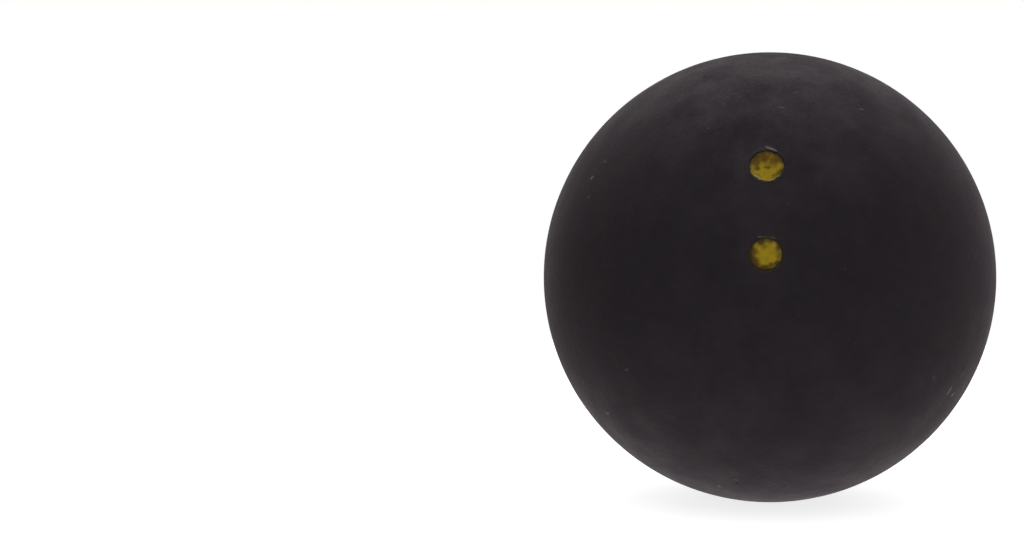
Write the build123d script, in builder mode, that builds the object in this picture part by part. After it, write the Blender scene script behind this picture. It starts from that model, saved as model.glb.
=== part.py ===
from build123d import *
from math import asin, degrees, sqrt
import os

# Squash ball: two moulded rubber half shells, cemented rim to rim, with two marking dots.
# Millimetres, +Z up. The origin is the centre of the ball, the seam lies in the XZ plane,
# and the dots are on the front half, which faces -Y.

# Ball
ball_diameter = 40.0
wall_thickness = 5.2

# Cemented seam: a film between the rims, and the bead that it squeezes into the cavity
cement_thickness = 0.15
bead_width = 1.8
bead_height = 0.45

# Marking dots, pressed into round pockets one above the other
dot_pocket_diameter = 2.8
dot_pocket_depth = 0.16
dot_pocket_lip_radius = 0.06
dot_film_thickness = 0.09
dot_film_clearance = 0.03
dot_pitch = 7.6
dot_pair_latitude = 20.3

# How far the pocket cutter stands out of the ball
cutter_overrun = 1.0

# Derived sizes
ball_radius = ball_diameter / 2
cavity_radius = ball_radius - wall_thickness
rim_offset = cement_thickness / 2
pocket_radius = dot_pocket_diameter / 2
pocket_floor_radius = ball_radius - dot_pocket_depth
film_radius = pocket_radius - dot_film_clearance
film_face_radius = pocket_floor_radius + dot_film_thickness
dot_half_angle = degrees(dot_pitch / 2 / ball_radius)
dot_latitudes = {
    "upper_dot": dot_pair_latitude + dot_half_angle,
    "lower_dot": dot_pair_latitude - dot_half_angle,
}
quarter_turn = 90


def angle_at(height, radius):
    """Angle, in degrees, at which a circle about the origin reaches a height."""
    return degrees(asin(height / radius))


def point_at(height, radius):
    """Point of that circle at the height."""
    return (sqrt(radius**2 - height**2), height)


def cap_edge(half_width, radius):
    """Point of that circle at a distance from the section's local Y axis."""
    return (half_width, sqrt(radius**2 - half_width**2))


def cap_arc(half_width, radius):
    """Arc of that circle, from the cap's edge to the local Y axis."""
    span = angle_at(half_width, radius)
    return CenterArc((0, 0), radius, quarter_turn - span, span)


def dot_section(latitude):
    """Plane through the centre of the ball and a dot, whose local Y is the dot's axis."""
    facing = Plane.XZ.rotated((-latitude, 0, 0))
    return Plane(origin=(0, 0, 0), x_dir=facing.x_dir, z_dir=facing.x_dir.cross(facing.z_dir))


os.makedirs("parts", exist_ok=True)

# Printed half: a plain cup behind the seam, with a flat rim
rim_angle = angle_at(rim_offset, ball_radius)
cavity_rim_angle = angle_at(rim_offset, cavity_radius)
with BuildPart() as printed_half_shell:
    with BuildSketch(Plane.XY):
        with BuildLine():
            CenterArc((0, 0), ball_radius, rim_angle, quarter_turn - rim_angle)
            Line((0, ball_radius), (0, cavity_radius))
            CenterArc((0, 0), cavity_radius, cavity_rim_angle, quarter_turn - cavity_rim_angle)
            Line(point_at(rim_offset, cavity_radius), point_at(rim_offset, ball_radius))
        make_face()
    revolve(axis=Axis.Y)
printed_half_shell.part.label = "printed_half_shell"
export_step(printed_half_shell.part, "parts/printed_half_shell.step")

# Dotted half: the same cup turned to the front, with a pressed pocket for each dot
cutter_top = ball_radius + cutter_overrun
with BuildPart() as dotted_half_shell:
    add(mirror(printed_half_shell.part, about=Plane.XZ, mode=Mode.PRIVATE))
    for latitude in dot_latitudes.values():
        section = dot_section(latitude)
        with BuildSketch(section):
            with BuildLine():
                cap_arc(pocket_radius, pocket_floor_radius)
                Line((0, pocket_floor_radius), (0, cutter_top))
                Line((0, cutter_top), (pocket_radius, cutter_top))
                Line((pocket_radius, cutter_top), cap_edge(pocket_radius, pocket_floor_radius))
            make_face()
        revolve(axis=Axis((0, 0, 0), section.y_dir), mode=Mode.SUBTRACT)
    outside = dotted_half_shell.faces().filter_by(GeomType.SPHERE).sort_by(SortBy.AREA)[-1]
    pocket_mouths = [mouth.edge() for mouth in outside.inner_wires()]
    fillet(pocket_mouths, radius=dot_pocket_lip_radius)
dotted_half_shell.part.label = "dotted_half_shell"
export_step(dotted_half_shell.part, "parts/dotted_half_shell.step")

# Cement ring: the film between the flat rims, and a rounded bead lying on both cavity walls
bead_edge_height = bead_width / 2
bead_span = angle_at(bead_edge_height, cavity_radius) - cavity_rim_angle
bead_crest = (cavity_radius - bead_height, 0)
with BuildPart() as seam_cement:
    with BuildSketch(Plane.XY):
        with BuildLine():
            CenterArc((0, 0), ball_radius, -rim_angle, 2 * rim_angle)
            for side in (1, -1):
                Line(point_at(side * rim_offset, ball_radius), point_at(side * rim_offset, cavity_radius))
                CenterArc((0, 0), cavity_radius, side * cavity_rim_angle, side * bead_span)
            ThreePointArc(
                point_at(bead_edge_height, cavity_radius),
                bead_crest,
                point_at(-bead_edge_height, cavity_radius),
            )
        make_face()
    revolve(axis=Axis.Y)
seam_cement.part.label = "seam_cement"
export_step(seam_cement.part, "parts/seam_cement.step")

# Dots: thin caps of marking film, lying on the pocket floors and following the curve of the ball
for node, latitude in dot_latitudes.items():
    section = dot_section(latitude)
    with BuildPart() as dot:
        with BuildSketch(section):
            with BuildLine():
                cap_arc(film_radius, pocket_floor_radius)
                Line((0, pocket_floor_radius), (0, film_face_radius))
                cap_arc(film_radius, film_face_radius)
                Line(cap_edge(film_radius, film_face_radius), cap_edge(film_radius, pocket_floor_radius))
            make_face()
        revolve(axis=Axis((0, 0, 0), section.y_dir))
    dot.part.label = node
    export_step(dot.part, f"parts/{node}.step")
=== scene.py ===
import math
import random
from functools import partial

import bmesh
import bpy
from bpy.props import FloatProperty, FloatVectorProperty, IntProperty, PointerProperty
from bpy.types import NodeSocket, Operator, Panel, PropertyGroup
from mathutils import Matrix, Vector, noise
from mathutils.kdtree import KDTree


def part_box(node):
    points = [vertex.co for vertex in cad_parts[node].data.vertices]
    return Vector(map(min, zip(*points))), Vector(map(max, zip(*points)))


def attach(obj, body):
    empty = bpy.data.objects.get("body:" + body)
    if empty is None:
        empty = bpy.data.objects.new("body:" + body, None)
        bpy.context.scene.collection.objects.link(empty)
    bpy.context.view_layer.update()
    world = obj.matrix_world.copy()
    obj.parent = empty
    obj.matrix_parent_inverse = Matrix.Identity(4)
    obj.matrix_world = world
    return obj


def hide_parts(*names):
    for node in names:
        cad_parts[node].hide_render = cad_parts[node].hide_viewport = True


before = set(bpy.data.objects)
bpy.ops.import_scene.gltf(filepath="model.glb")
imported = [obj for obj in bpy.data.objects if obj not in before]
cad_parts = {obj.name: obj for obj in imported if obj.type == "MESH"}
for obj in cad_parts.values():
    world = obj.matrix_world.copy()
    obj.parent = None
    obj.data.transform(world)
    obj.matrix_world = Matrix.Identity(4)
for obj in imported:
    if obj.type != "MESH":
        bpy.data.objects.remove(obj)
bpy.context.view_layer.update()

bl_info = {
    "name": "Squash Ball",
    "version": (1, 0, 0),
    "blender": (4, 5, 0),
    "location": "3D View > Sidebar > Squash Ball",
    "description": "Dresses a hollow rubber squash ball with its rubber, dots, print, light and camera",
    "category": "Object",
}

BODY = "root"
MM = 0.001
FRONT = -1
BACK = 1

# The photograph's frame, and where the centre of the ball falls in it
PHOTO_WIDTH_PX = 1024
PHOTO_HEIGHT_PX = 543
BALL_X_PX = 767.8
BALL_Y_PX = 277.2

# Sockets of the Mix node for colours, which share their names with its other sockets
MIX_FACTOR = 0
MIX_FIRST = 6
MIX_SECOND = 7
MIX_RESULT = 2

# Rays that carry reflections
REFLECTED = ("Is Glossy Ray", "Is Transmission Ray")

# Fall-off, frequency step and octaves of the noise that makes the relief uneven
OCTAVES = (1.0, 2.0, 3)


def reach(node):
    """Least and greatest distance of a CAD node's points from the centre of the ball."""
    distances = [vertex.co.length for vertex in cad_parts[node].data.vertices]
    return min(distances), max(distances)


def axis_of(node):
    """Direction from the centre of the ball to the middle of a CAD node."""
    low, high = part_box(node)
    return (Vector(low) + Vector(high)).normalized()


# Sizes that the frame gives
CAVITY_RADIUS, BALL_RADIUS = reach("printed_half_shell")
RIM_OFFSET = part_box("printed_half_shell")[0][1]
POCKET_FLOOR_RADIUS, FILM_FACE_RADIUS = reach("upper_dot")
FILM_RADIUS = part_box("upper_dot")[1][0]
SHELL_MIDDLE = (CAVITY_RADIUS + BALL_RADIUS) / 2


def linear(hex_colour):
    """Linear colour of an sRGB hex value such as #94801F."""
    channels = [int(hex_colour[start:start + 2], 16) / 255 for start in (1, 3, 5)]
    return [c / 12.92 if c <= 0.04045 else ((c + 0.055) / 1.055) ** 2.4 for c in channels]


def opaque(colour):
    """Colour with full alpha, as node sockets want it."""
    return (*colour, 1.0)


def smooth(start, end, value):
    """Smooth step from 0 at start to 1 at end."""
    t = min(max((value - start) / (end - start), 0.0), 1.0)
    return t * t * (3 - 2 * t)


def length_setting(name, description, millimetres):
    """Length that a user can change."""
    return FloatProperty(name=name, description=description, default=millimetres * MM, unit="LENGTH")


def angle_setting(name, description, degrees):
    """Angle that a user can change."""
    return FloatProperty(
        name=name, description=description, default=math.radians(degrees), unit="ROTATION",
    )


def colour_setting(name, description, hex_colour):
    """Colour that a user can change."""
    return FloatVectorProperty(
        name=name, description=description, default=linear(hex_colour), subtype="COLOR", min=0, max=1,
    )


def share_setting(name, description, share):
    """Share, from 0 to 1, that a user can change."""
    return FloatProperty(
        name=name, description=description, default=share, min=0, max=1, subtype="FACTOR",
    )


def light_setting(name, description, strength):
    """Brightness that a user can change."""
    return FloatProperty(name=name, description=description, default=strength, min=0)


class RubberSettings(PropertyGroup):
    """Sizes and colours of the moulded and buffed rubber"""

    grid_count: IntProperty(
        name="Grid count", description="Faces along each side of a half's grid, a multiple of 4",
        default=240, min=40, step=4,
    )
    ripple_size: length_setting("Ripple size", "Width of the ripples that buffing leaves", 1.9)
    ripple_height: length_setting("Ripple height", "Height of the ripples that buffing leaves", 0.006)
    pit_count: IntProperty(
        name="Pinholes", description="Pinholes that moulding leaves on each half", default=50, min=0,
    )
    pit_radius: length_setting("Pinhole radius", "Radius of the widest pinhole", 0.2)
    pit_depth: length_setting("Pinhole depth", "Depth of the deepest pinhole", 0.08)
    sliver_height: length_setting("Sliver height", "Height of the slivers that play has lifted", 0.05)
    seam_dip: length_setting("Seam dip", "Depth to which buffing wears the rubber beside the seam", 0.015)
    seam_width: length_setting("Seam width", "Width of the buffed band on each side of the seam", 0.6)
    grain_size: length_setting("Grain size", "Width of the sanded grain", 0.3)
    grain_depth: length_setting("Grain depth", "Depth of the sanded grain", 0.034)
    colour: colour_setting("Rubber", "Carbon-black rubber", "#171417")
    bloom_colour: colour_setting("Bloom", "Rubber under a grey bloom", "#1D1A1D")
    # The dust colour also paints the highlight on the lip above the lower dot
    dust_and_highlight_colour: colour_setting("Dust", "Dust specks, scratches and torn rubber", "#6E6466")
    pit_shade_colour: colour_setting("Pinholes' floor", "Shadowed floor of a pinhole", "#070607")
    stain_colour: colour_setting("Pocket stain", "Rubber stained by the marking", "#382C12")
    gleam_tint: colour_setting("Gleam", "Tint of the rubber's dull gleam", "#FFECF7")
    sheen_tint: colour_setting("Sheen", "Tint of the light that the sanded tooth catches", "#FFE5EF")
    cement_colour: colour_setting("Cement", "Cured cement in the seam", "#0B090A")
    cement_grey: colour_setting("Cement smear", "Cement greyed by the buffing wheel", "#191617")


class DotSettings(PropertyGroup):
    """Sizes and colours of the two marking dots and their pockets"""

    wall_width: length_setting("Wall width", "Width of the pocket's sloping wall", 0.16)
    lip_height: length_setting("Lip height", "Height of the rubber pushed up round a pocket", 0.03)
    lip_width: length_setting("Lip width", "Width of the rubber pushed up round a pocket", 0.3)
    colour: colour_setting("Marking", "Yellow marking film", "#8E7816")
    # The dull and worn colours also paint the shade under the pocket's upper wall along a dot's top
    dull_and_shaded_colour: colour_setting("Dull marking", "Marking film soiled by the court", "#5C4810")
    worn_and_shaded_colour: colour_setting("Worn marking", "Film rubbed through to the rubber", "#5A340A")
    # Grime along the film's edge is partly painted shade of the crease against the pocket wall
    grime_and_shade_colour: colour_setting("Grime", "Court dirt caught along the film's edge", "#30281A")
    # The film's pale edge is chalk all round and a painted highlight on one side
    chalk_and_highlight_colour: colour_setting("Film edge", "Chalky edge of the film", "#988C54")


class PrintSettings(PropertyGroup):
    """Sizes and colours of the ornament printed on the back"""

    latitude: angle_setting("Latitude", "Height of the ornament's middle above the equator", 19.3)
    half_length: length_setting("Half length", "From the ornament's middle to its tip", 13.0)
    line_width: length_setting("Line width", "Width of the ornament's lines", 0.8)
    ink_height: length_setting("Ink height", "Height of the ink above the rubber", 0.025)
    ink_depth: length_setting("Ink depth", "Depth to which the ink is pressed into the rubber", 0.03)
    colour: colour_setting("Ink", "Silver-grey foil ink", "#86868D")
    bright_colour: colour_setting("Bright ink", "Foil flakes that lie flat", "#A3A3AA")
    gap_colour: colour_setting("Gaps", "Rubber that shows through the ink", "#2B282A")


class StageSettings(PropertyGroup):
    """Floor, light and camera"""

    lens: FloatProperty(
        name="Lens", description="Focal length in millimetres", default=85.0, min=1, unit="CAMERA",
    )
    distance: length_setting("Distance", "From the camera to the centre of the ball", 216.97)
    elevation: angle_setting("Elevation", "Height of the camera above the horizon", 4.0)
    azimuth: angle_setting("Azimuth", "Turn of the camera round the ball", 0.5)
    floor_radius: length_setting("Floor radius", "Radius of the floor", 150.0)
    floor_colour: colour_setting("Floor", "White acrylic table top", "#C8C8C8")
    floor_glow: light_setting("Floor glow", "Light that comes up through the table top", 0.8)
    horizon: light_setting("Horizon light", "Brightness of the light tent near the floor", 0.06)
    zenith: light_setting("Overhead light", "Brightness of the light tent overhead", 1.25)
    glare: light_setting("Glare", "Brightness of the overhead lamp in reflections", 3.2)
    table_glare: light_setting("Table glare", "Brightness of the lit table top in reflections", 1.35)
    table_share: share_setting("Table's right", "Brightness of the table's right in reflections", 0.5)
    right_share: share_setting("Right wall", "Brightness of the tent's right wall in reflections", 0.1)
    left_share: share_setting("Left card", "Brightness of the dark card on the left in reflections", 0.0)


class BallSettings(PropertyGroup):
    """All settings of the squash ball"""

    rubber: PointerProperty(type=RubberSettings, name="Rubber", description="The two halves and the seam")
    dots: PointerProperty(type=DotSettings, name="Dots", description="The two marking dots")
    mark: PointerProperty(type=PrintSettings, name="Print", description="The ornament on the back")
    stage: PointerProperty(type=StageSettings, name="Stage", description="Floor, light and camera")


def add_node(tree, kind, inputs=None, output=0, **settings):
    """Add a node, apply its settings, set or link its inputs, and return one of its outputs."""
    node = tree.nodes.new("ShaderNode" + kind)
    for name, value in settings.items():
        setattr(node, name, value)
    for name, value in (inputs or {}).items():
        if isinstance(value, NodeSocket):
            tree.links.new(value, node.inputs[name])
        else:
            node.inputs[name].default_value = value
    return node.outputs[output] if node.outputs else None


def new_material(name):
    """Empty material, and the function that adds a node to it."""
    material = bpy.data.materials.new(name)
    material.use_nodes = True
    material.node_tree.nodes.clear()
    return material, partial(add_node, material.node_tree)


def place_in_mm(add):
    """Place on the object in millimetres, so that a pattern's scale is one over its size."""
    place = add("TexCoord", output="Object")
    return add("VectorMath", {0: place, "Scale": 1 / MM}, operation="SCALE")


def buffed_butyl_rubber(rubber):
    """Carbon-black butyl rubber, pressed in a mould and then buffed."""
    # Buffing leaves a dull, faintly purple black with a sanded tooth. Bloom greys it in soft patches,
    # and dust, scratches and pinholes break it up at close range, with painted shade on the pinholes'
    # floors.
    material, add = new_material("buffed_butyl_rubber")
    place = place_in_mm(add)
    bloom_mm = 6.0
    mottle_mm = 0.8
    grain_mm = rubber.grain_size / MM
    polish_mm = 3.5
    speck_spacing_mm = 2.4
    speck_mm = 0.12
    speck_strength = 0.25
    scratch_run_mm = 16.0
    scratch_spacing_mm = 1.3
    scratch_mm = 0.06
    scratch_strength = 0.1

    # Tone: soft bloom, finer mottle, and the grain's crests greyer than its valleys
    bloom = add("TexNoise", {"Vector": place, "Scale": 1 / bloom_mm, "Detail": 3.0})
    mottle = add("TexNoise", {"Vector": place, "Scale": 1 / mottle_mm, "Detail": 2.0})
    grain = add("TexNoise", {"Vector": place, "Scale": 1 / grain_mm, "Detail": 3.0, "Roughness": 0.65})
    patches = add("Math", {0: bloom, 1: mottle}, operation="ADD")
    speckled = add("Math", {0: patches, 1: grain}, operation="ADD")
    bloomed = add("MapRange", {"Value": speckled, "From Min": 1.15, "From Max": 1.9})

    # Dust specks, one here and there, ragged and of many sizes
    speck_edge = speck_mm / speck_spacing_mm
    speck_fade = 0.4 * speck_edge
    ragged = add("VectorMath", {0: grain, 1: [speck_mm] * 3, 2: place}, operation="MULTIPLY_ADD")
    speck_gap = add("TexVoronoi", {"Vector": ragged, "Scale": 1 / speck_spacing_mm})
    speck_size = add("SeparateColor", {"Color": speck_gap.node.outputs["Color"]})
    speck_reach = add("Math", {0: speck_size, 1: speck_edge}, operation="MULTIPLY")
    speck_depth = add("Math", {0: speck_reach, 1: speck_gap}, operation="SUBTRACT")
    specks = add("MapRange", {"Value": speck_depth, "From Max": speck_fade, "To Max": speck_strength})
    scuff_and_highlight, pit_shade, stain = [
        add("Attribute", output="Fac", attribute_name=name) for name in ("scuff_and_highlight", "pit_shade", "stain")
    ]
    # The scuff share includes a painted highlight on the lip above the lower dot
    pale = add("Math", {0: specks, 1: scuff_and_highlight}, operation="MAXIMUM")

    # Short, faint scratches in two directions
    scratch_edge = scratch_mm / scratch_spacing_mm
    scratch_core = 0.3 * scratch_edge
    scratch_cell = (scratch_run_mm, scratch_spacing_mm, scratch_spacing_mm)
    for turn in ((0.3, 0.7, 0.5), (0.2, -0.9, 1.1)):
        stretched = add(
            "Mapping", {"Vector": place, "Rotation": turn, "Scale": scratch_cell},
            vector_type="TEXTURE",
        )
        scratch_gap = add("TexVoronoi", {"Vector": stretched, "Scale": 1.0})
        scratch = add(
            "MapRange",
            {
                "Value": scratch_gap, "From Min": scratch_edge, "From Max": scratch_core,
                "To Max": scratch_strength,
            },
        )
        pale = add("Math", {0: pale, 1: scratch}, operation="MAXIMUM")

    # Pinholes' floors are darkened with painted shade, and the dots' pockets are stained. Each layer lies
    # over the ones before it.
    layers = (
        (bloomed, rubber.bloom_colour), (pale, rubber.dust_and_highlight_colour),
        (pit_shade, rubber.pit_shade_colour), (stain, rubber.stain_colour),
    )
    tone = opaque(rubber.colour)
    for share, colour in layers:
        tone = add(
            "Mix", {MIX_FACTOR: share, MIX_FIRST: tone, MIX_SECOND: opaque(colour)},
            MIX_RESULT, data_type="RGBA",
        )

    # Tooth of the buffed skin, drawn coarser than the real grit so that it shows. Handling polishes
    # it unevenly, in patches of a few millimetres.
    tooth = add("Bump", {"Height": grain, "Distance": rubber.grain_depth, "Strength": 1.0})
    toothed = add(
        "MapRange",
        {"Value": grain, "From Min": 0.3, "From Max": 0.7, "To Min": 0.7, "To Max": 0.84},
    )
    polish = add("TexNoise", {"Vector": place, "Scale": 1 / polish_mm, "Detail": 2.0, "Roughness": 0.6})
    polished = add(
        "MapRange",
        {"Value": polish, "From Min": 0.35, "From Max": 0.65, "To Min": -0.07, "To Max": 0.08},
    )
    roughness = add("Math", {0: toothed, 1: polished}, operation="ADD")
    skin = add(
        "BsdfPrincipled",
        {
            "Base Color": tone, "Roughness": roughness, "Normal": tooth,
            "IOR": 1.5, "Specular IOR Level": 0.15, "Specular Tint": opaque(rubber.gleam_tint),
            "Sheen Weight": 0.07, "Sheen Roughness": 0.45, "Sheen Tint": opaque(rubber.sheen_tint),
        },
        distribution="GGX",
    )
    add("OutputMaterial", {"Surface": skin})
    return material


def cured_rubber_cement(rubber):
    """Rubber cement, cured in the joint and buffed flush."""
    # It is a little blacker and smoother than the moulded skin, with grey smears from the buffing wheel.
    material, add = new_material("cured_rubber_cement")
    place = place_in_mm(add)
    smear_mm = 0.9
    lump_mm = 0.3
    lump_height = 0.02 * MM
    smear = add("TexNoise", {"Vector": place, "Scale": 1 / smear_mm, "Detail": 3.0})
    lumps = add("TexNoise", {"Vector": place, "Scale": 1 / lump_mm, "Detail": 2.0})
    smeared = add("MapRange", {"Value": smear, "From Min": 0.45, "From Max": 0.7})
    black = opaque(rubber.cement_colour)
    grey = opaque(rubber.cement_grey)
    tone = add(
        "Mix", {MIX_FACTOR: smeared, MIX_FIRST: black, MIX_SECOND: grey},
        MIX_RESULT, data_type="RGBA",
    )
    tooth = add("Bump", {"Height": lumps, "Distance": lump_height, "Strength": 1.0})
    roughness = add("MapRange", {"Value": lumps, "To Min": 0.38, "To Max": 0.55})
    skin = add(
        "BsdfPrincipled",
        {
            "Base Color": tone, "Roughness": roughness, "Normal": tooth,
            "IOR": 1.5, "Specular IOR Level": 0.35,
        },
    )
    add("OutputMaterial", {"Surface": skin})
    return material


def pressed_marking_film(dots):
    """Pigmented marking film, hot pressed into the rubber."""
    # Chalky yellow pigment in a rubbery binder: flat and mottled, and brown where play has rubbed it
    # through and where spots paint the shade under the pocket's upper wall. Its edge is chalky all round,
    # with a painted highlight on one side, and darkened along the rest by grime and painted shade.
    material, add = new_material("pressed_marking_film")
    place = place_in_mm(add)
    soil_mm = 0.45
    fleck_mm = 0.14
    fleck_height = 0.02 * MM
    soil = add("TexNoise", {"Vector": place, "Scale": 1 / soil_mm, "Detail": 3.0})
    fleck = add("TexNoise", {"Vector": place, "Scale": 1 / fleck_mm, "Detail": 2.0})
    # The wear share also carries painted shade, the edge share a painted highlight, and the grime share
    # painted shade
    wear_and_shade, edge, grime_and_shade = [
        add("Attribute", output="Fac", attribute_name=name) for name in ("wear_and_shade", "edge", "grime_and_shade")
    ]
    patchy = add(
        "MapRange",
        {"Value": soil, "From Min": 0.35, "From Max": 0.65, "To Min": -0.1, "To Max": 0.15},
    )
    # Rubbed, soiled and through include the painted shade of the spots along a dot's top
    rubbed = add("Math", {0: wear_and_shade, 1: patchy}, operation="ADD")
    soiled = add("MapRange", {"Value": rubbed, "From Min": 0.0, "From Max": 0.5})
    through = add("MapRange", {"Value": rubbed, "From Min": 0.5, "From Max": 1.0})
    # Chalk flecks break up the pale edge and its painted highlight
    chalk_and_highlight_band = add("MapRange", {"Value": fleck, "From Min": 0.3, "From Max": 0.6, "To Min": 0.4})
    chalk_and_highlight = add("Math", {0: edge, 1: chalk_and_highlight_band}, operation="MULTIPLY")
    layers = (
        (soiled, dots.dull_and_shaded_colour), (chalk_and_highlight, dots.chalk_and_highlight_colour),
        (through, dots.worn_and_shaded_colour), (grime_and_shade, dots.grime_and_shade_colour),
    )
    tone = opaque(dots.colour)
    for share, colour in layers:
        tone = add(
            "Mix", {MIX_FACTOR: share, MIX_FIRST: tone, MIX_SECOND: opaque(colour)},
            MIX_RESULT, data_type="RGBA",
        )
    tooth = add("Bump", {"Height": fleck, "Distance": fleck_height, "Strength": 1.0})
    roughness = add("MapRange", {"Value": soil, "To Min": 0.75, "To Max": 0.95})
    skin = add(
        "BsdfPrincipled",
        {
            "Base Color": tone, "Roughness": roughness, "Normal": tooth,
            "IOR": 1.5, "Specular IOR Level": 0.1,
        },
        distribution="GGX",
    )
    add("OutputMaterial", {"Surface": skin})
    return material


def stamped_foil_ink(mark):
    """Aluminium-flake ink, stamped hot from a foil."""
    # The tooth of the rubber breaks it into grains: silver grey with brighter flakes and dark gaps,
    # which are closer together where handling has rubbed the ink thin.
    material, add = new_material("stamped_foil_ink")
    place = place_in_mm(add)
    flake_mm = 0.16
    flake_height = 0.02 * MM
    gap_mm = 0.3
    rubbed_mm = 2.5
    rubbed_strength = 0.6
    flake = add("TexNoise", {"Vector": place, "Scale": 1 / flake_mm, "Detail": 2.0})
    gaps = add("TexNoise", {"Vector": place, "Scale": 1 / gap_mm, "Detail": 3.0, "Roughness": 0.6})
    rubbed = add("TexNoise", {"Vector": place, "Scale": 1 / rubbed_mm, "Detail": 2.0})
    bright = add("MapRange", {"Value": flake, "From Min": 0.4, "From Max": 0.68})
    thinned = add("Math", {0: rubbed, 1: rubbed_strength, 2: gaps}, operation="MULTIPLY_ADD")
    bare = add("MapRange", {"Value": thinned, "From Min": 0.9, "From Max": 1.04})
    tone = opaque(mark.colour)
    for share, colour in ((bright, mark.bright_colour), (bare, mark.gap_colour)):
        tone = add(
            "Mix", {MIX_FACTOR: share, MIX_FIRST: tone, MIX_SECOND: opaque(colour)},
            MIX_RESULT, data_type="RGBA",
        )
    tooth = add("Bump", {"Height": flake, "Distance": flake_height, "Strength": 1.0})
    roughness = add("MapRange", {"Value": flake, "To Min": 0.5, "To Max": 0.62})
    skin = add(
        "BsdfPrincipled",
        {"Base Color": tone, "Roughness": roughness, "Normal": tooth, "Metallic": 0.35},
    )
    add("OutputMaterial", {"Surface": skin})
    return material


def directions_on(axis):
    """Right and up on the ball, seen from outside along an axis."""
    right = Vector((0, 0, 1)).cross(axis).normalized()
    return right, axis.cross(right)


def on_ball(axis, right_way, up_way):
    """Direction of the point that lies at those arc lengths from an axis, on the surface of the ball."""
    right, up = directions_on(axis)
    arc = math.hypot(right_way, up_way)
    if arc == 0:
        return axis.copy()
    heading = (right * right_way + up * up_way) / arc
    return axis * math.cos(arc / BALL_RADIUS) + heading * math.sin(arc / BALL_RADIUS)


def off_axis(axis, direction):
    """Arc lengths to the right and up from an axis to a direction, on the surface of the ball."""
    right, up = directions_on(axis)
    across = direction.dot(right)
    along = direction.dot(up)
    flat = math.hypot(across, along)
    if flat == 0:
        return 0.0, 0.0
    arc = BALL_RADIUS * math.atan2(flat, direction.dot(axis))
    return arc * across / flat, arc * along / flat


def direction_at(azimuth, elevation):
    """Direction at an azimuth, counted from the front towards +X, and an elevation, both in degrees."""
    turn = math.radians(azimuth)
    rise = math.radians(elevation)
    return Vector((math.sin(turn) * math.cos(rise), -math.cos(turn) * math.cos(rise), math.sin(rise)))


def cup_direction(across, along, side, edge_tilt):
    """Direction of a point of a half's square grid, whose sides lie at -1 and 1."""
    # Rings of the square become rings of the half with equal areas, so that all faces are alike in size
    if across == 0 and along == 0:
        return Vector((0, side, 0))
    if abs(across) >= abs(along):
        ring = across
        turn = math.pi / 4 * along / across
    else:
        ring = along
        turn = math.pi / 2 - math.pi / 4 * across / along
    tilt = 2 * math.asin(ring * math.sin(edge_tilt / 2))
    flat = math.sin(tilt)
    return Vector((flat * math.cos(turn), side * math.cos(tilt), flat * math.sin(turn)))


def cup_grid(count, radius, side):
    """Points of a half's grid on a sphere, row by row, down to its flat rim."""
    edge_tilt = math.acos(RIM_OFFSET / radius)
    steps = [2 * step / count - 1 for step in range(count + 1)]
    return [radius * cup_direction(across, along, side, edge_tilt) for along in steps for across in steps]


def grid_faces(columns, rows, first):
    """Faces of a grid whose points start at an index."""
    row = columns + 1
    starts = [first + line * row + place for line in range(rows) for place in range(columns)]
    return [(start, start + 1, start + row + 1, start + row) for start in starts]


def grid_border(columns, rows, first):
    """Indices round the border of that grid."""
    row = columns + 1
    last_row = first + rows * row
    return [
        *range(first, first + columns),
        *range(first + columns, last_row + columns, row),
        *range(last_row + columns, last_row, -1),
        *range(last_row, first, -row),
    ]


def rim_faces(outer, inner):
    """Faces of the flat rim, which has several outer points to each inner one."""
    share = len(outer) // len(inner)
    faces = []
    for place, point in enumerate(inner):
        start = place * share
        run = [outer[(start + step) % len(outer)] for step in range(share + 1)]
        faces.append((point, *run, inner[(place + 1) % len(inner)]))
    return faces


def search_tree(places):
    """Tree that finds the indices of the places near a point."""
    tree = KDTree(len(places))
    for place, index in places:
        tree.insert(place, index)
    tree.balance()
    return tree


def refine(bm, centres, radius, cuts):
    """Divide the faces near each centre, so that fine relief there has points to follow."""
    bm.faces.ensure_lookup_table()
    tree = search_tree([(face.calc_center_median(), face.index) for face in bm.faces])
    near = {index for centre in centres for _, index, _ in tree.find_range(centre, radius)}
    bm.edges.ensure_lookup_table()
    edges = sorted({edge.index for index in near for edge in bm.faces[index].edges})
    chosen = [bm.edges[index] for index in edges]
    bmesh.ops.subdivide_edges(bm, edges=chosen, cuts=cuts, use_grid_fill=True)
    for parts in (bm.verts, bm.edges, bm.faces):
        parts.index_update()


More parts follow.
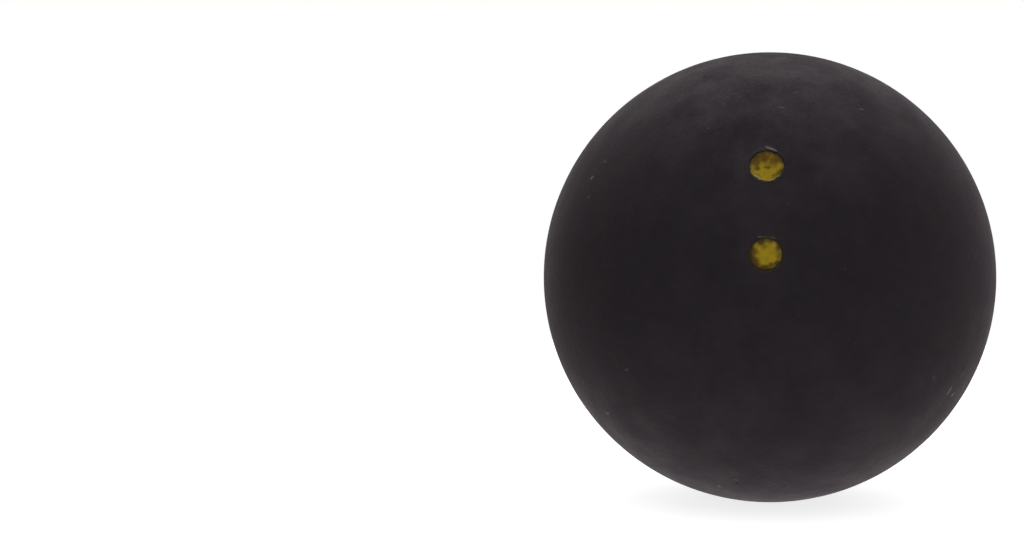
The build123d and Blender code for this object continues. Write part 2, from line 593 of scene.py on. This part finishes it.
def place_slivers():
    """Slivers of skin that play has lifted: direction, heading, length, width and paleness of each."""
    # Azimuth, elevation and heading in degrees, length and width in millimetres, paleness from 0 to 1.
    # In order: above each dot, the chafed place low on the right, nicks on the left, high and low on
    # the front, and a few on the back. The pale sliver above the lower dot is a painted highlight on the
    # pocket's lip as well as raised skin.
    placed = (
        (1.1, 35.9, -27, 1.15, 0.36, 0.75), (0.2, 13.3, -4, 1.5, 0.24, 0.35),
        (60, -26.4, 70, 0.9, 0.45, 0.75), (64, -28, 20, 0.7, 0.4, 0.6),
        (64, -22.5, 60, 0.5, 0.3, 0.3), (49, -22, 120, 0.7, 0.5, 0.12),
        (-57, 27, 50, 0.45, 0.36, 0.7), (-54.6, 31.6, 20, 0.45, 0.32, 0.32), (-55, 22, 0, 0.4, 0.3, 0.25),
        (-17, 50.6, 95, 0.45, 0.2, 0.17), (5, 49, -15, 0.55, 0.28, 0.27),
        (12, 55, 20, 0.5, 0.28, 0.22), (36, 48.4, 0, 0.45, 0.3, 0.3),
        (-55, -34, 0, 0.45, 0.34, 0.5), (-38, -20, 30, 0.5, 0.36, 0.14),
        (-24, -61, 80, 0.5, 0.34, 0.5), (-13, -56, 0, 0.5, 0.3, 0.25),
        (118, 38, 60, 0.8, 0.18, 0.5), (152, -41, 15, 0.6, 0.16, 0.3), (-128, -22, 140, 0.9, 0.18, 0.5),
        (-165, 58, -20, 0.5, 0.16, 0.4), (-102, 33, 80, 0.6, 0.14, 0.3),
    )
    return [
        (direction_at(azimuth, elevation), math.radians(heading), length * MM, width * MM, paleness)
        for azimuth, elevation, heading, length, width, paleness in placed
    ]


def scatter_pits(side, rubber, dot_axes):
    """Directions and sizes, from 0 to 1, of the pinholes on a half."""
    seed = 41
    keep_off = 3.0 * MM
    least_height = 0.03
    least_size = 0.2
    greatest_size = 0.5
    chance = random.Random(seed + side)
    # Dents near the edge of the front, by azimuth, elevation and size, and smaller ones by chance
    placed = (
        (-13, -58, 1.0), (9, -59, 0.9), (63, -20.6, 0.9), (-36, 62, 1.0),
        (33, 58.8, 0.6), (37, 58, 0.7), (-21, 70, 0.8), (61, 45, 0.8), (70.6, 43, 0.7),
    )
    shown = placed if side == FRONT else ()
    pits = [(direction_at(azimuth, elevation), size) for azimuth, elevation, size in shown]
    while len(pits) < rubber.pit_count:
        height = chance.uniform(least_height, 1)
        turn = chance.uniform(0, 2 * math.pi)
        size = chance.uniform(least_size, greatest_size)
        ring = math.sqrt(1 - height * height)
        direction = Vector((ring * math.cos(turn), side * height, ring * math.sin(turn)))
        if all(BALL_RADIUS * direction.angle(axis) > keep_off for axis in dot_axes):
            pits.append((direction, size))
    return pits


def pocket_height(arc, dots):
    """Height of the rubber at an arc length from the middle of a dot."""
    # A little of the sloping wall lies under the film's CAD edge, and most of it outside
    under_share = 0.15
    foot = FILM_RADIUS - under_share * dots.wall_width
    top = foot + dots.wall_width
    depth = BALL_RADIUS - POCKET_FLOOR_RADIUS
    wall = smooth(foot, top, arc)
    lip = dots.lip_height * (1 - smooth(top, top + dots.lip_width, arc))
    return wall * (depth + lip) - depth


def sliver_share(right_way, up_way, heading, length, width):
    """Share, from 0 to 1, of a lifted sliver's height at a place near its middle."""
    fray = 0.5
    frays_along = 2
    seed_step = 40
    ridge_share = 0.2
    along = 2 * (right_way * math.cos(heading) + up_way * math.sin(heading)) / length
    across = 2 * (up_way * math.cos(heading) - right_way * math.sin(heading)) / width
    if abs(along) >= 1:
        return 0.0
    frayed = fray * noise.noise(Vector((frays_along * along, across, seed_step * heading)))
    return 1 - smooth(ridge_share, 1.0, abs(across) / math.sqrt(1 - along * along) + frayed)


def raise_relief(bm, rubber, dots, dot_axes, pits, slivers):
    """Move a half's outside to its relief, and note where its skin is pitted, scuffed and stained, with
    painted shade in the pinholes and a painted highlight on the sliver above the lower dot.
    """
    pit_shade_layer = bm.verts.layers.float.new("pit_shade")
    scuff_and_highlight_layer = bm.verts.layers.float.new("scuff_and_highlight")
    stain_layer = bm.verts.layers.float.new("stain")
    stain_start = FILM_RADIUS - dots.wall_width / 2
    stain_end = FILM_RADIUS + dots.wall_width
    bm.verts.ensure_lookup_table()
    outside = [vertex for vertex in bm.verts if vertex.co.length > SHELL_MIDDLE]
    tree = search_tree([(vertex.co.normalized() * BALL_RADIUS, vertex.index) for vertex in outside])
    relief = [0.0] * len(bm.verts)
    for direction, size in pits:
        radius = rubber.pit_radius * size
        for _, index, gap in tree.find_range(direction * BALL_RADIUS, radius):
            share = (1 - (gap / radius) ** 2) ** 2
            relief[index] = min(relief[index], -rubber.pit_depth * size * share)
            vertex = bm.verts[index]
            # The pinhole share darkens its floor with painted shade
            vertex[pit_shade_layer] = max(vertex[pit_shade_layer], share)
    for direction, heading, length, width, paleness in slivers:
        for _, index, _ in tree.find_range(direction * BALL_RADIUS, length):
            vertex = bm.verts[index]
            right_way, up_way = off_axis(direction, vertex.co.normalized())
            share = sliver_share(right_way, up_way, heading, length, width)
            relief[index] += rubber.sliver_height * share * paleness
            # A sliver's paleness; above the lower dot it paints the highlight on the pocket's lip
            vertex[scuff_and_highlight_layer] = max(vertex[scuff_and_highlight_layer], share * paleness)
    for vertex in outside:
        direction = vertex.co.normalized()
        ripple = noise.fractal(direction * (BALL_RADIUS / rubber.ripple_size), *OCTAVES)
        seam_gap = abs(direction.y) * BALL_RADIUS - RIM_OFFSET
        height = relief[vertex.index] + rubber.ripple_height * ripple
        height -= rubber.seam_dip * (1 - smooth(0, rubber.seam_width, seam_gap))
        for axis in dot_axes:
            arc = BALL_RADIUS * direction.angle(axis)
            height += pocket_height(arc, dots)
            stain = 1 - smooth(stain_start, stain_end, arc)
            vertex[stain_layer] = max(vertex[stain_layer], stain)
        vertex.co = direction * (BALL_RADIUS + height)


def map_for_bake(bm, outer_count, inner_count):
    """Lay the outside, the cavity and the rim side by side on the map that bakes use."""
    outside_share = 0.86
    gutter = 0.02
    rim_start = 0.5
    layer = bm.loops.layers.uv.new("OFBake")
    outer_points = (outer_count + 1) ** 2
    small = 1 - outside_share - gutter
    for face in bm.faces:
        on_outside = all(vertex.index < outer_points for vertex in face.verts)
        in_cavity = all(vertex.index >= outer_points for vertex in face.verts)
        for loop in face.loops:
            index = loop.vert.index
            if on_outside:
                line, place = divmod(index, outer_count + 1)
                u = outside_share * place / outer_count
                v = outside_share * line / outer_count
            elif in_cavity:
                line, place = divmod(index - outer_points, inner_count + 1)
                u = 1 - small * place / inner_count
                v = small * line / inner_count
            else:
                u = 1 - small * (0.5 + loop.vert.co.x / (2 * BALL_RADIUS))
                v = rim_start + small * (0.5 + loop.vert.co.z / (2 * BALL_RADIUS))
            loop[layer].uv = (u, v)


def link_piece(name, mesh, material, replaced):
    """Make a mesh a piece of the ball, which rides on its body and may stand for a CAD node."""
    mesh.materials.append(material)
    piece = bpy.data.objects.new(name, mesh)
    bpy.context.scene.collection.objects.link(piece)
    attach(piece, BODY)
    if replaced:
        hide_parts(replaced)


def closed_mesh(bm, name):
    """Smooth mesh of a closed surface, with its faces turned outwards."""
    bmesh.ops.recalc_face_normals(bm, faces=bm.faces[:])
    mesh = bpy.data.meshes.new(name)
    bm.to_mesh(mesh)
    bm.free()
    mesh.shade_smooth()
    return mesh


def rubber_half(name, side, settings, dot_axes):
    """Mesh of one half: its outside with all relief, its cavity wall and its flat rim."""
    rubber = settings.rubber
    outer_to_inner = 4
    dot_reach = FILM_RADIUS + 2 * settings.dots.lip_width
    dot_cuts = 5
    pit_reach = 2 * rubber.pit_radius
    sliver_reach_share = 0.7
    mark_cuts = 2
    sharp_angle = math.radians(60)
    inner_count = rubber.grid_count // outer_to_inner
    outer_count = outer_to_inner * inner_count
    points = cup_grid(outer_count, BALL_RADIUS, side)
    first_inner = len(points)
    points += cup_grid(inner_count, CAVITY_RADIUS, side)
    faces = grid_faces(outer_count, outer_count, 0)
    faces += grid_faces(inner_count, inner_count, first_inner)
    faces += rim_faces(
        grid_border(outer_count, outer_count, 0), grid_border(inner_count, inner_count, first_inner),
    )
    mesh = bpy.data.meshes.new(name)
    mesh.from_pydata(points, [], faces)
    bm = bmesh.new()
    bm.from_mesh(mesh)
    bm.verts.ensure_lookup_table()
    map_for_bake(bm, outer_count, inner_count)
    bmesh.ops.recalc_face_normals(bm, faces=bm.faces[:])
    pits = scatter_pits(side, rubber, dot_axes)
    slivers = [sliver for sliver in place_slivers() if sliver[0].y * side > 0]
    if dot_axes:
        refine(bm, [axis * BALL_RADIUS for axis in dot_axes], dot_reach, dot_cuts)
    refine(bm, [direction * BALL_RADIUS for direction, _ in pits], pit_reach, mark_cuts)
    for direction, _, length, _, _ in slivers:
        # Beside a dot the faces are already small
        if all(BALL_RADIUS * direction.angle(axis) > dot_reach for axis in dot_axes):
            refine(bm, [direction * BALL_RADIUS], sliver_reach_share * length, mark_cuts)
    raise_relief(bm, rubber, settings.dots, dot_axes, pits, slivers)
    bm.to_mesh(mesh)
    bm.free()
    mesh.shade_smooth()
    mesh.set_sharp_from_angle(angle=sharp_angle)
    return mesh


def film_edge(turn, corners, seed):
    """Radius of a dot's film at a turn, as a share of its full radius."""
    # Shrinking has flattened the edge between its corners, and bits of it have broken off
    flat_share = 0.65
    chip_share = 0.09
    chip_scale = 3.1
    crumb_share = 0.4
    crumb_scale = 9.0
    gaps = [(turn - math.radians(corner)) % (2 * math.pi) for corner in corners]
    past = min(gaps)
    ahead = 2 * math.pi - max(gaps)
    flat = math.cos((past + ahead) / 2) / math.cos((past - ahead) / 2)
    ring = Vector((math.cos(turn), math.sin(turn), seed))
    chips = max(noise.noise(ring * chip_scale), 0) + crumb_share * abs(noise.noise(ring * crumb_scale))
    return 1 - flat_share * (1 - flat) - chip_share * chips


def dot_film(name, axis, dots, radius, corners, wear_and_shade_spots, pale_turn, pale_strength, seed):
    """Mesh of a dot's film: a thin dish, whose chipped edge can turn up the pocket's wall."""
    ring_count = 44
    turn_count = 132
    thickness = FILM_FACE_RADIUS - POCKET_FLOOR_RADIUS
    middle_share = 0.6
    round_width = 0.04 * MM
    rise_height = 0.02 * MM
    rise_start = 0.6
    lump_height = 0.006 * MM
    lump_size = 0.4 * MM
    worn_depth = 0.5 * thickness
    spot_core = 0.1
    spot_fray = 0.15
    pale_round = 0.15
    pale_full = 0.9
    edge_width = 0.28 * MM
    edge_fray = 0.8 * edge_width
    soil_width = 0.5 * MM
    soil_fray = 0.3 * soil_width
    soil_strength = 0.85
    bm = bmesh.new()
    wear_and_shade_layer = bm.verts.layers.float.new("wear_and_shade")
    chalk_and_highlight_layer = bm.verts.layers.float.new("edge")
    grime_and_shade_layer = bm.verts.layers.float.new("grime_and_shade")

    def film_point(arc, rim, turn):
        """Point of the film's face at an arc length from the middle, with its wear."""
        right_way = arc * math.cos(turn)
        up_way = arc * math.sin(turn)
        lumps = noise.fractal(Vector((right_way, up_way, seed * MM)) / lump_size, *OCTAVES)
        wear_and_shade = 0.0
        # Worn spots, which along the dot's top also paint the shade under the pocket's upper wall
        for spot_right, spot_up, spot_radius, strength in wear_and_shade_spots:
            gap = math.hypot(right_way / MM - spot_right, up_way / MM - spot_up) / spot_radius
            wear_and_shade += (1 - wear_and_shade) * strength * (1 - smooth(spot_core, 1.0, gap + spot_fray * lumps))
        # The pale side of the edge is a painted highlight, over a chalky edge all round
        facing = smooth(0.0, pale_full, math.cos(turn - pale_turn))
        pale = pale_strength * (pale_round + (1 - pale_round) * facing)
        # The grime band along the edge, away from the highlight, is dirt and painted shade
        soil = 1 - smooth(0, soil_width, rim - arc + soil_fray * lumps)
        chalk_and_highlight_band = 1 - smooth(0, edge_width, rim - arc - edge_fray * lumps)
        share = arc / rim
        inset = min((rim - arc) / round_width, 1.0)
        height = thickness * (middle_share + (1 - middle_share) * share ** 2)
        height += rise_height * smooth(rise_start, 1.0, share)
        height += lump_height * lumps - worn_depth * wear_and_shade * (1 - share)
        height *= math.sqrt(1 - (1 - inset) ** 2)
        bed = BALL_RADIUS + pocket_height(arc, dots)
        vertex = bm.verts.new(on_ball(axis, right_way, up_way) * (bed + max(height, 0.0)))
        vertex[wear_and_shade_layer] = wear_and_shade
        vertex[chalk_and_highlight_layer] = pale * chalk_and_highlight_band
        vertex[grime_and_shade_layer] = soil_strength * soil * (1 - pale)
        return vertex

    turns = [2 * math.pi * step / turn_count for step in range(turn_count)]
    rims = [radius * film_edge(turn, corners, seed) for turn in turns]
    middle = film_point(0.0, radius, 0.0)
    rings = []
    for step in range(1, ring_count + 1):
        share = math.sin(math.pi / 2 * step / ring_count)
        rings.append([film_point(rim * share, rim, turn) for rim, turn in zip(rims, turns)])
    under = bm.verts.new(axis * POCKET_FLOOR_RADIUS)
    for step in range(turn_count):
        after = (step + 1) % turn_count
        bm.faces.new((middle, rings[0][step], rings[0][after]))
        for inside, outside in zip(rings, rings[1:]):
            bm.faces.new((inside[step], outside[step], outside[after], inside[after]))
        bm.faces.new((under, rings[-1][after], rings[-1][step]))
    return closed_mesh(bm, name)


def ink_patch(bm, axis, corners, mark):
    """Add a thin solid of ink, which follows the ball between four corners."""
    cell = 0.12 * MM
    least_cells = 3
    wander = 0.035 * MM
    wander_size = 0.35 * MM
    # The edge wanders up by other noise than it wanders to the right
    apart = Vector((0, 0, 7.5))
    thin_share = 0.3
    low_left, low_right, high_right, high_left = [Vector(corner) for corner in corners]
    wide = max((low_right - low_left).length, (high_right - high_left).length)
    tall = max((high_left - low_left).length, (high_right - low_right).length)
    columns = max(least_cells, round(wide / cell))
    rows = max(least_cells, round(tall / cell))
    top, bottom = [], []
    for line in range(rows + 1):
        v = line / rows
        for place in range(columns + 1):
            u = place / columns
            flat = (
                low_left * (1 - u) * (1 - v) + low_right * u * (1 - v)
                + high_right * u * v + high_left * (1 - u) * v
            )
            spot = Vector((flat.x, flat.y, 0)) / wander_size
            right_way = flat.x + wander * noise.noise(spot)
            up_way = flat.y + wander * noise.noise(spot + apart)
            direction = on_ball(axis, right_way, up_way)
            on_edge = line in (0, rows) or place in (0, columns)
            height = mark.ink_height * (thin_share if on_edge else 1.0)
            top.append(bm.verts.new(direction * (BALL_RADIUS + height)))
            bottom.append(bm.verts.new(direction * (BALL_RADIUS - mark.ink_depth)))
    for face in grid_faces(columns, rows, 0):
        bm.faces.new([top[index] for index in face])
        bm.faces.new([bottom[index] for index in reversed(face)])
    border = grid_border(columns, rows, 0)
    for here, there in zip(border, border[1:] + border[:1]):
        bm.faces.new((top[there], top[here], bottom[here], bottom[there]))


def lozenge(middle, half_width):
    """Corners of a lozenge on the ornament's line."""
    return [
        (middle - half_width, 0), (middle, -half_width),
        (middle + half_width, 0), (middle, half_width),
    ]


def bar(start, end, start_width, end_width, up_way):
    """Corners of a bar along the ornament's line or at a height above it."""
    return [
        (start, up_way - start_width / 2), (end, up_way - end_width / 2),
        (end, up_way + end_width / 2), (start, up_way + start_width / 2),
    ]


def any_ray(add, kinds):
    """Socket that is 1 for rays of the named kinds and 0 for others."""
    path = add("LightPath").node
    found = path.outputs[kinds[0]]
    for kind in kinds[1:]:
        found = add("Math", {0: found, 1: path.outputs[kind]}, operation="MAXIMUM")
    return found


def fade_aside(add, strength, across, sides):
    """Socket with a strength that fades, between two places on each side, to a share."""
    for start, end, share in sides:
        fade = add(
            "MapRange",
            {"Value": across, "From Min": start, "From Max": end, "To Min": 1.0, "To Max": share},
        )
        strength = add("Math", {0: strength, 1: fade}, operation="MULTIPLY")
    return strength


def make_table(scene, stage):
    """White acrylic table top, lit from below, which the ball stands on."""
    # The glow lifts the floor to white, and the shadow of the ball stays on it. Reflections see it
    # white under the ball, dimmer on the right, and covered by the dark card on the left.
    fades = ((5 * MM, 45 * MM, stage.table_share), (-28 * MM, -38 * MM, stage.left_share))
    segments = 128
    material, add = new_material("opal_acrylic_table")
    diffuse = add("BsdfDiffuse", {"Color": opaque(stage.floor_colour)})
    glow = add("Emission", {"Strength": stage.floor_glow})
    lit = add("AddShader", {0: diffuse, 1: glow})
    place = add("TexCoord", output="Object")
    across = add("SeparateXYZ", {"Vector": place}, "X")
    white = add("Emission", {"Strength": fade_aside(add, stage.table_glare, across, fades)})
    seen = add("MixShader", {"Fac": any_ray(add, REFLECTED), 1: lit, 2: white})
    add("OutputMaterial", {"Surface": seen})
    bm = bmesh.new()
    bmesh.ops.create_circle(bm, cap_ends=True, segments=segments, radius=stage.floor_radius)
    mesh = bpy.data.meshes.new("table_top")
    bm.to_mesh(mesh)
    bm.free()
    mesh.materials.append(material)
    table = bpy.data.objects.new("table_top", mesh)
    table.location.z = -BALL_RADIUS
    scene.collection.objects.link(table)


def make_tent(scene, stage):
    """Light tent: a soft sky, dim at the horizon and bright overhead, with a white backdrop."""
    # The camera sees the white backdrop alone. Reflections see it brighten to the lamp overhead and
    # darken to the grey wall on the right and the dark card on the left. Heights and places are those of
    # the direction.
    zenith_height = 0.85
    lamp_height = 0.4
    fades = ((0.2, 1.0, stage.right_share), (-0.45, -0.8, stage.left_share))
    white = opaque(linear("#FFFFFF"))
    world = bpy.data.worlds.new("light_tent")
    world.use_nodes = True
    world.node_tree.nodes.clear()
    add = partial(add_node, world.node_tree)
    way = add("TexCoord", output="Generated")
    height = add("SeparateXYZ", {"Vector": way}, "Z")
    across = height.node.outputs["X"]
    brightness = add(
        "MapRange",
        {
            "Value": height, "From Min": 0.0, "From Max": zenith_height,
            "To Min": stage.horizon, "To Max": stage.zenith,
        },
        interpolation_type="SMOOTHSTEP",
    )
    glare = add(
        "MapRange",
        {"Value": height, "From Min": lamp_height, "From Max": 1.0, "To Min": 1.0, "To Max": stage.glare},
        interpolation_type="SMOOTHSTEP",
    )
    glossy = fade_aside(add, glare, across, fades)
    cloth = add("Background", {"Color": white, "Strength": brightness})
    mirrored = add("Background", {"Color": white, "Strength": glossy})
    backdrop = add("Background", {"Color": white, "Strength": 1.0})
    lit = add("MixShader", {"Fac": any_ray(add, REFLECTED), 1: cloth, 2: mirrored})
    seen = add("MixShader", {"Fac": any_ray(add, ("Is Camera Ray",)), 1: lit, 2: backdrop})
    add("OutputWorld", {"Surface": seen})
    scene.world = world


def make_camera(scene, stage):
    """Level camera at the photograph's viewpoint, which puts the ball on its place in the frame."""
    camera = bpy.data.cameras.new("camera")
    camera.lens = stage.lens
    camera.sensor_fit = "HORIZONTAL"
    camera.clip_start = 0.01
    camera.clip_end = 20.0
    focal_px = stage.lens / camera.sensor_width * PHOTO_WIDTH_PX
    right_px = BALL_X_PX - PHOTO_WIDTH_PX / 2
    up_px = PHOTO_HEIGHT_PX / 2 - BALL_Y_PX
    in_frame = Vector((right_px, up_px, focal_px)).normalized()
    view = direction_at(math.degrees(stage.azimuth), math.degrees(stage.elevation))
    place = stage.distance * view
    to_ball = -place.normalized()
    pitch = math.asin(to_ball.z / math.hypot(in_frame.y, in_frame.z)) - math.atan2(in_frame.y, in_frame.z)
    ahead = in_frame.z * math.cos(pitch) - in_frame.y * math.sin(pitch)
    heading = math.atan2(-to_ball.x, to_ball.y) + math.atan2(in_frame.x, ahead)
    camera_object = bpy.data.objects.new("camera", camera)
    camera_object.location = place
    camera_object.rotation_euler = (math.pi / 2 + pitch, 0, heading)
    scene.collection.objects.link(camera_object)
    scene.camera = camera_object


class SQUASHBALL_OT_rubber_halves(Operator):
    """Make the two rubber halves with their buffed, pitted skin and the pockets for the dots"""

    bl_idname = "squash_ball.rubber_halves"
    bl_label = "Rubber halves"

    def execute(self, context):
        settings = context.scene.squash_ball
        material = buffed_butyl_rubber(settings.rubber)
        dot_axes = [axis_of("upper_dot"), axis_of("lower_dot")]
        front = rubber_half("rubber_half_front", FRONT, settings, dot_axes)
        back = rubber_half("rubber_half_back", BACK, settings, [])
        link_piece("rubber_half_front", front, material, "dotted_half_shell")
        link_piece("rubber_half_back", back, material, "printed_half_shell")
        return {"FINISHED"}


class SQUASHBALL_OT_seam_cement(Operator):
    """Give the cement ring between the halves its finish"""

    bl_idname = "squash_ball.seam_cement"
    bl_label = "Seam cement"

    def execute(self, context):
        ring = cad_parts["seam_cement"].data
        ring.materials.clear()
        ring.materials.append(cured_rubber_cement(context.scene.squash_ball.rubber))
        return {"FINISHED"}


class SQUASHBALL_OT_marking_dots(Operator):
    """Make the films of the two marking dots, each with its own wear"""

    bl_idname = "squash_ball.marking_dots"
    bl_label = "Marking dots"

    def execute(self, context):
        dots = context.scene.squash_ball.dots
        material = pressed_marking_film(dots)
        # Worn spots: right, up and radius in millimetres from the middle of the dot, and strength. The
        # broad first spot over the upper dot's top and the spots along the lower dot's top paint the
        # shade under the pocket's upper wall as well as wear.
        upper_wear_and_shade_spots = (
            (0.0, 1.25, 1.7, 0.45), (-0.18, 0.78, 0.5, 0.9), (-1.0, 0.42, 0.75, 0.8),
            (1.0, 0.75, 0.75, 0.8), (-0.74, -0.19, 0.42, 0.7), (-0.15, -0.1, 0.25, 0.5),
            (0.12, -0.1, 0.25, 0.5), (0.62, 0.3, 0.6, 0.45), (0.7, -0.9, 0.45, 0.35),
            (-0.66, -0.88, 0.3, 0.45), (1.25, -0.55, 0.5, 0.9),
        )
        lower_wear_and_shade_spots = (
            (-1.15, 0.2, 0.85, 0.9), (-0.95, -0.65, 0.65, 0.5), (-0.4, 1.15, 0.55, 0.55),
            (-0.37, 0.89, 0.26, 0.45), (0.3, 1.25, 0.5, 0.55), (1.05, 0.82, 0.5, 1.0),
            (-0.23, 0.58, 0.4, 0.25), (0.95, 0.0, 0.5, 0.2), (0.45, -0.82, 0.35, 0.6),
            (0.0, -1.3, 0.65, 0.7), (1.05, -0.76, 0.5, 0.55),
        )
        # Corners of each film's edge, as turns in degrees from the right
        upper_corners = (4, 38, 66, 92, 118, 150, 180, 210, 246, 280, 310, 336)
        lower_corners = (12, 48, 92, 140, 184, 222, 262, 300, 338)
        # Piece, CAD node, share of the CAD film's radius, corners, spots, turn in degrees and strength
        # of the pale side, whose one-sided brightening is a painted highlight, and seed
        films = (
            ("upper_dot_film", "upper_dot", 1.05, upper_corners, upper_wear_and_shade_spots, 258, 0.9, 1.0),
            ("lower_dot_film", "lower_dot", 0.97, lower_corners, lower_wear_and_shade_spots, 20, 0.3, 5.0),
        )
        for name, node, share, corners, wear_and_shade_spots, pale_turn, pale_strength, seed in films:
            mesh = dot_film(
                name, axis_of(node), dots, share * FILM_RADIUS, corners, wear_and_shade_spots,
                math.radians(pale_turn), pale_strength, seed,
            )
            link_piece(name, mesh, material, node)
        return {"FINISHED"}


class SQUASHBALL_OT_print_mark(Operator):
    """Make the plain ornament that is printed on the back half"""

    bl_idname = "squash_ball.print_mark"
    bl_label = "Printed ornament"

    def execute(self, context):
        mark = context.scene.squash_ball.mark
        axis = Vector((0, math.cos(mark.latitude), math.sin(mark.latitude)))
        half = mark.half_length
        big = 0.17 * half
        small = 0.09 * half
        small_place = 0.36 * half
        bar_start = 0.5 * half
        rule_place = 0.42 * half
        rule_half = 0.54 * half
        thick = 1.4 * mark.line_width
        thin = 0.4 * mark.line_width
        even = 0.9 * mark.line_width
        shapes = [lozenge(0, big)]
        for way in (-1, 1):
            shapes.append(lozenge(way * small_place, small))
            shapes.append(bar(way * bar_start, way * half, thick, thin, 0))
            shapes.append(bar(-rule_half, rule_half, even, even, way * rule_place))
        bm = bmesh.new()
        for corners in shapes:
            ink_patch(bm, axis, corners, mark)
        link_piece("print_mark", closed_mesh(bm, "print_mark"), stamped_foil_ink(mark), None)
        return {"FINISHED"}


class SQUASHBALL_OT_stage(Operator):
    """Set up the lit table, the light tent and the camera"""

    bl_idname = "squash_ball.stage"
    bl_label = "Stage"

    def execute(self, context):
        stage = context.scene.squash_ball.stage
        context.scene.view_settings.view_transform = "Standard"
        make_table(context.scene, stage)
        make_tent(context.scene, stage)
        make_camera(context.scene, stage)
        return {"FINISHED"}


class SQUASHBALL_PT_sidebar(Panel):
    """Settings and steps of the squash ball"""

    bl_idname = "SQUASHBALL_PT_sidebar"
    bl_label = "Squash Ball"
    bl_space_type = "VIEW_3D"
    bl_region_type = "UI"
    bl_category = "Squash Ball"

    def draw(self, context):
        settings = context.scene.squash_ball
        for step in STEPS:
            self.layout.operator(step.bl_idname)
        for group in (settings.rubber, settings.dots, settings.mark, settings.stage):
            box = self.layout.box()
            for name in group.__annotations__:
                box.prop(group, name)


STEPS = (
    SQUASHBALL_OT_rubber_halves,
    SQUASHBALL_OT_seam_cement,
    SQUASHBALL_OT_marking_dots,
    SQUASHBALL_OT_print_mark,
    SQUASHBALL_OT_stage,
)
GROUPS = (RubberSettings, DotSettings, PrintSettings, StageSettings, BallSettings)
CLASSES = (*GROUPS, *STEPS, SQUASHBALL_PT_sidebar)


def register():
    """Register the classes, and put the settings on the scene."""
    for cls in CLASSES:
        bpy.utils.register_class(cls)
    bpy.types.Scene.squash_ball = PointerProperty(type=BallSettings)


def unregister():
    """Take the settings and the classes away again."""
    del bpy.types.Scene.squash_ball
    for cls in reversed(CLASSES):
        bpy.utils.unregister_class(cls)


def main():
    """Build the ball and its stage."""
    register()
    bpy.ops.squash_ball.rubber_halves()
    bpy.ops.squash_ball.seam_cement()
    bpy.ops.squash_ball.marking_dots()
    bpy.ops.squash_ball.print_mark()
    bpy.ops.squash_ball.stage()


if __name__ == "__main__":
    main()
